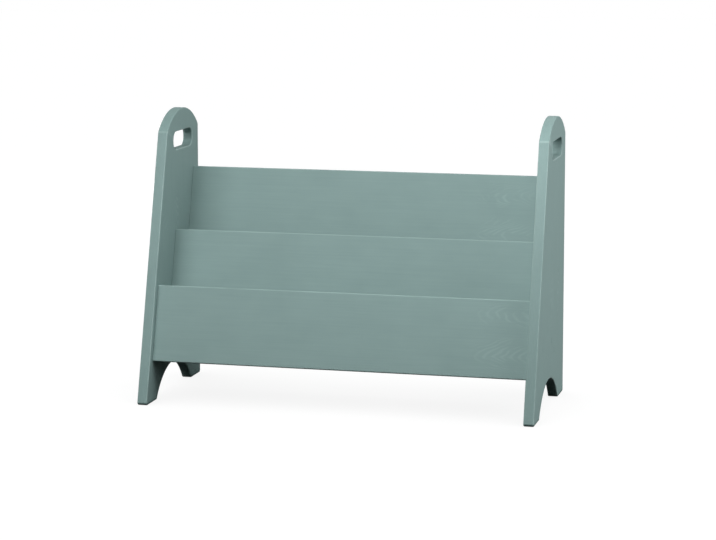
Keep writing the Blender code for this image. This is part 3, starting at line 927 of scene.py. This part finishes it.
fasteners("wood_screws", screw_names, screw_tree, {
    "Length": screw_length, "Thread diameter": screw_diameter, "Core diameter": screw_core,
    "Neck diameter": screw_neck, "Head diameter": screw_head, "Head rim": screw_head_rim,
    "Thread start": screw_thread_start, "Pitch": screw_pitch, "Tip length": screw_tip_length,
    "Tip share": screw_tip / screw_diameter, "Head depth": screw_head_depth,
    "Finish": zinc_plate("zinc_plated_steel"),
})


# The plugs that hide the screws. They are 10 mm face-grain birch plugs, glued in, cut off flush and
# painted with the sides, so that only a hair-thin ring shows.

plug_chamfer = 0.0003
plug_sunk = 0.00015
plug_diameter = 0.0100
plug_paint = painted_plywood("matt_lacquer_on_birch_plugs", upright_grain, (1.2, 0.3, 0.0))
fasteners("screw_plugs", plug_names, peg_tree, {
    "Diameter": plug_diameter, "Length": plug_length - plug_sunk, "Chamfer": plug_chamfer,
    "Outer end": 0.0, "Grooves": 0, "Groove depth": 0.0, "Sunk": plug_sunk, "Finish": plug_paint,
})


# The studio: a white paper sheet under the rack, one plain world round it, and soft lamps. The lens
# sees both white, with a painted shadow of the rack on the sheet, and so does gloss, with a darker
# painted shadow.

floor_reach = 12.0
floor_drop = 0.0002
shade_reach = 0.25
shape = bmesh.new()
corners = [(-floor_reach, -floor_reach), (floor_reach, -floor_reach)]
corners += [(-x, -y) for x, y in corners]
shape.faces.new([shape.verts.new((x, y, -floor_drop)) for x, y in corners])
floor = object_of("studio_floor", shape)


def show_apart(tree, output, lighting, seen):
    """Shows one shader to the lens and in gloss, and lets another one do the lighting."""
    ray = add_node(tree, "ShaderNodeLightPath")
    in_gloss = {0: ray["Is Glossy Ray"], 1: ray["Is Transmission Ray"]}
    mirrored = add_node(tree, "ShaderNodeMath", in_gloss, operation="MAXIMUM")[0]
    looked_at = {0: ray["Is Camera Ray"], 1: mirrored}
    shown = add_node(tree, "ShaderNodeMath", looked_at, operation="MAXIMUM")[0]
    both = add_node(tree, "ShaderNodeMixShader", {0: shown, 1: lighting, 2: seen})[0]
    add_node(tree, output, {"Surface": both})


floor_sheet = empty_material("white_paper_sheet")
tree = floor_sheet.node_tree
bounce = add_node(tree, "ShaderNodeBsdfDiffuse", {"Color": linear("#303030")})[0]
paper = add_node(tree, "ShaderNodeBsdfDiffuse", {"Color": linear("#404040")})[0]
# The sheet's glow dims where the rack hides the sky: a painted shadow, darker still in gloss
open_sky = add_node(tree, "ShaderNodeAmbientOcclusion", {"Distance": shade_reach}, samples=8)["AO"]
shadowed_glow = add_node(tree, "ShaderNodeMath", {0: open_sky, 1: 0.15, 2: 0.85}, operation="MULTIPLY_ADD")[0]
glowing = add_node(tree, "ShaderNodeEmission", {"Strength": shadowed_glow})[0]
white_sheet = add_node(tree, "ShaderNodeAddShader", {0: paper, 1: glowing})[0]
dark_under_rack = add_node(tree, "ShaderNodeMath", {0: open_sky, 1: 3.0}, operation="POWER")[0]
mirrored_sheet = add_node(tree, "ShaderNodeEmission", {"Strength": dark_under_rack})[0]
by_lens = add_node(tree, "ShaderNodeLightPath")["Is Camera Ray"]
seen = add_node(tree, "ShaderNodeMixShader", {0: by_lens, 1: mirrored_sheet, 2: white_sheet})[0]
show_apart(tree, "ShaderNodeOutputMaterial", bounce, seen)
floor.data.materials.append(floor_sheet)

# The light that comes from all round is weak and faintly green, as in the photograph's shade
world = bpy.data.worlds.new("studio")
world.use_nodes = True
bpy.context.scene.world = world
tree = world.node_tree
tree.nodes.clear()
ambient = add_node(tree, "ShaderNodeBackground", {"Color": linear("#5cffe4"), "Strength": 0.042})[0]
white = add_node(tree, "ShaderNodeBackground", {"Color": linear("#ffffff"), "Strength": 1.0})[0]
show_apart(tree, "ShaderNodeOutputWorld", ambient, white)


rack_middle = (0.0, 0.0, 0.25)


def softbox(name, place, aim, width, length, power):
    lamp = bpy.data.lights.new(name, "AREA")
    lamp.shape = "RECTANGLE"
    lamp.size = width
    lamp.size_y = length
    lamp.energy = power
    holder = bpy.data.objects.new(name, lamp)
    holder.location = place
    holder.rotation_euler = (Vector(aim) - Vector(place)).to_track_quat("-Z", "Y").to_euler()
    holder.visible_camera = False
    bpy.context.scene.collection.objects.link(holder)


softbox("near_right", (0.3, -0.36, 0.70), (0.3, 0.0, 0.4), 0.3, 0.3, 1.25)
softbox("left_front", (-0.6, -1.0, 1.0), (-0.1, 0.0, 0.3), 0.6, 0.6, 7.2)
softbox("front_far", (0.0, -3.0, 2.4), rack_middle, 2.0, 1.4, 50.0)
softbox("right_side", (2.4, 0.0, 0.8), rack_middle, 1.2, 1.2, 25.0)
softbox("right_high", (2.0, -0.3, 1.5), rack_middle, 1.0, 1.0, 7.5)
softbox("back_top", (0.0, 2.2, 2.0), rack_middle, 2.0, 1.0, 18.0)
softbox("left_back", (-1.8, 2.6, 0.30), rack_middle, 1.5, 0.4, 40.0)
bpy.context.scene.view_settings.view_transform = "Standard"


# The camera stands in front of the rack, a little to the right and above, as in the photograph,
# whose frame is cut a little lower than the middle of its lens.

camera_place = Vector((1.0056, -3.9201, 0.8924))
camera_turn = math.radians(14.2571)
camera_tilt = math.radians(7.7047)
camera_roll = math.radians(-0.0390)
focal_pixels = 2335.4
frame_pixels = 716.0
pixels_off_centre = 65.48
lens_sensor = 36.0

ahead = Vector((
    -math.sin(camera_turn) * math.cos(camera_tilt),
    math.cos(camera_turn) * math.cos(camera_tilt),
    -math.sin(camera_tilt),
))
level_right = ahead.cross(Vector((0.0, 0.0, 1.0))).normalized()
level_up = level_right.cross(ahead)
right = level_right * math.cos(camera_roll) + level_up * math.sin(camera_roll)
top = level_up * math.cos(camera_roll) - level_right * math.sin(camera_roll)
lens = bpy.data.cameras.new("camera")
lens.sensor_width = lens_sensor
lens.lens = focal_pixels * lens_sensor / frame_pixels
lens.shift_y = -pixels_off_centre / frame_pixels
lens.clip_end = 100.0
camera = bpy.data.objects.new("camera", lens)
camera.matrix_world = Matrix((
    (right.x, top.x, -ahead.x, camera_place.x),
    (right.y, top.y, -ahead.y, camera_place.y),
    (right.z, top.z, -ahead.z, camera_place.z),
    (0.0, 0.0, 0.0, 1.0),
))
bpy.context.scene.collection.objects.link(camera)
bpy.context.scene.camera = camera
